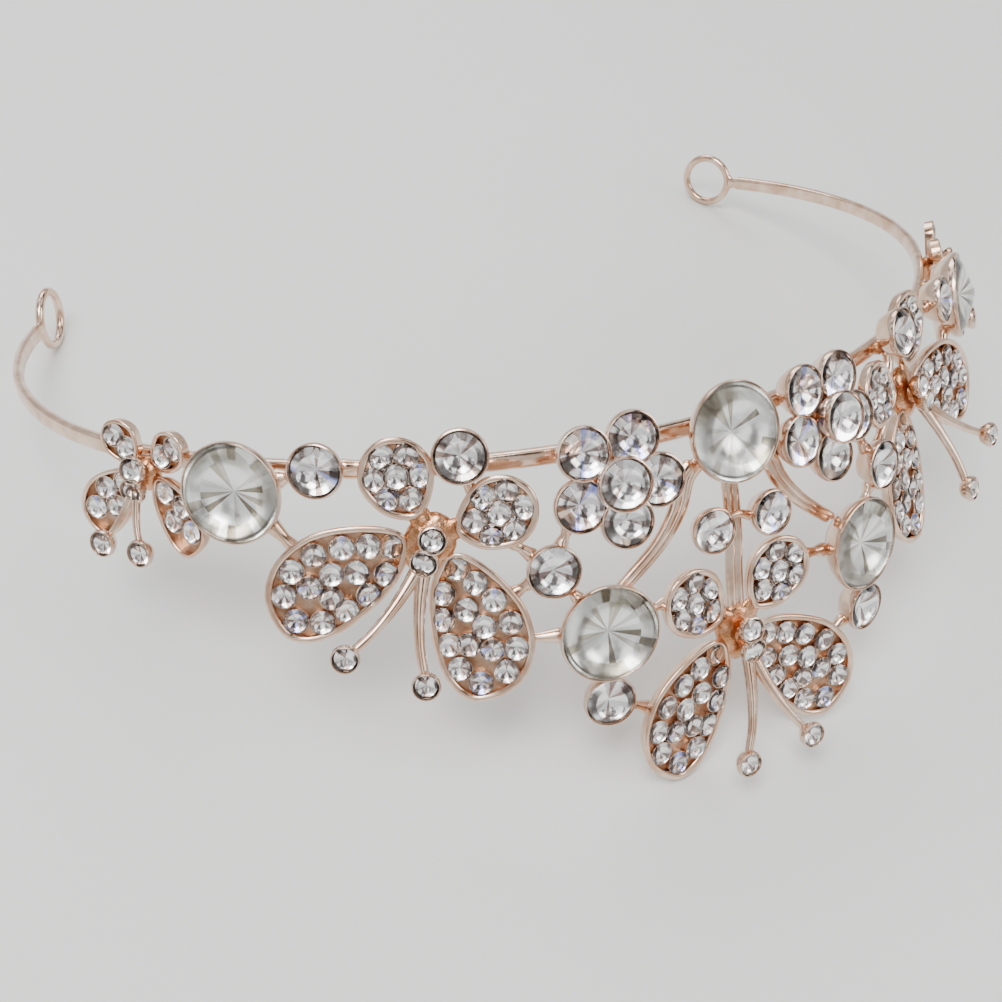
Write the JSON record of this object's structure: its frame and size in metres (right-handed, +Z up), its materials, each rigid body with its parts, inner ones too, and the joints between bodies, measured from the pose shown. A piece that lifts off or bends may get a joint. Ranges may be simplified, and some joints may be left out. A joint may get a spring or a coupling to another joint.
{
  "type": "bridal tiara",
  "caption": "Rose gold bridal tiara: springy headband with hair loops, carrying stone-set butterflies, flowers and large pointed crystals.",
  "frame": {"origin": "middle of the footprint, on the table that the tiara lies on crest down", "axes": "+Z up, -Y towards the front of the tiara, +X along its width, to the right seen from the front"},
  "size_m": [0.143, 0.1162, 0.0438],
  "materials": {
    "rose_gold": "polished rose gold plating",
    "wing_metal": "polished rose gold plating, rough in the hubs",
    "crystal": "clear foil-backed crystal",
    "pave": "small clear foil-backed stones"
  },
  "bodies": {
    "root": {"centre_butterfly_body": "rose_gold", "centre_butterfly_left_fore_pave": "pave", "centre_butterfly_left_hind_pave": "pave", "centre_butterfly_right_fore_pave": "pave", "centre_butterfly_right_hind_pave": "pave", "centre_butterfly_wings": "wing_metal", "centre_casting": "rose_gold", "headband": "rose_gold", "left_butterfly_body": "rose_gold", "left_butterfly_left_fore_pave": "pave", "left_butterfly_left_hind_pave": "pave", "left_butterfly_right_fore_pave": "pave", "left_butterfly_right_hind_pave": "pave", "left_butterfly_wings": "wing_metal", "left_chaton_1": "crystal", "left_chaton_2": "crystal", "left_chaton_3": "crystal", "left_chaton_4": "crystal", "left_drop_stone": "crystal", "left_end_butterfly_body": "rose_gold", "left_end_butterfly_wings": "wing_metal", "left_end_loop": "rose_gold", "left_flower_centre_stone": "crystal", "left_flower_setting": "rose_gold", "left_lower_casting": "rose_gold", "left_lower_rivoli": "crystal", "left_petal_stone_1": "crystal", "left_petal_stone_2": "crystal", "left_petal_stone_3": "crystal", "left_petal_stone_4": "crystal", "left_petal_stone_5": "crystal", "left_side_casting": "rose_gold", "left_side_rivoli": "crystal", "right_butterfly_body": "rose_gold", "right_butterfly_left_fore_pave": "pave", "right_butterfly_left_hind_pave": "pave", "right_butterfly_right_fore_pave": "pave", "right_butterfly_right_hind_pave": "pave", "right_butterfly_wings": "wing_metal", "right_chaton_1": "crystal", "right_chaton_2": "crystal", "right_chaton_3": "crystal", "right_chaton_4": "crystal", "right_drop_stone": "crystal", "right_end_butterfly_body": "rose_gold", "right_end_butterfly_wings": "wing_metal", "right_end_loop": "rose_gold", "right_flower_centre_stone": "crystal", "right_flower_setting": "rose_gold", "right_lower_casting": "rose_gold", "right_lower_rivoli": "crystal", "right_petal_stone_1": "crystal", "right_petal_stone_2": "crystal", "right_petal_stone_3": "crystal", "right_petal_stone_4": "crystal", "right_petal_stone_5": "crystal", "right_side_casting": "rose_gold", "right_side_rivoli": "crystal", "top_rivoli": "crystal"}
  },
  "joints": []
}
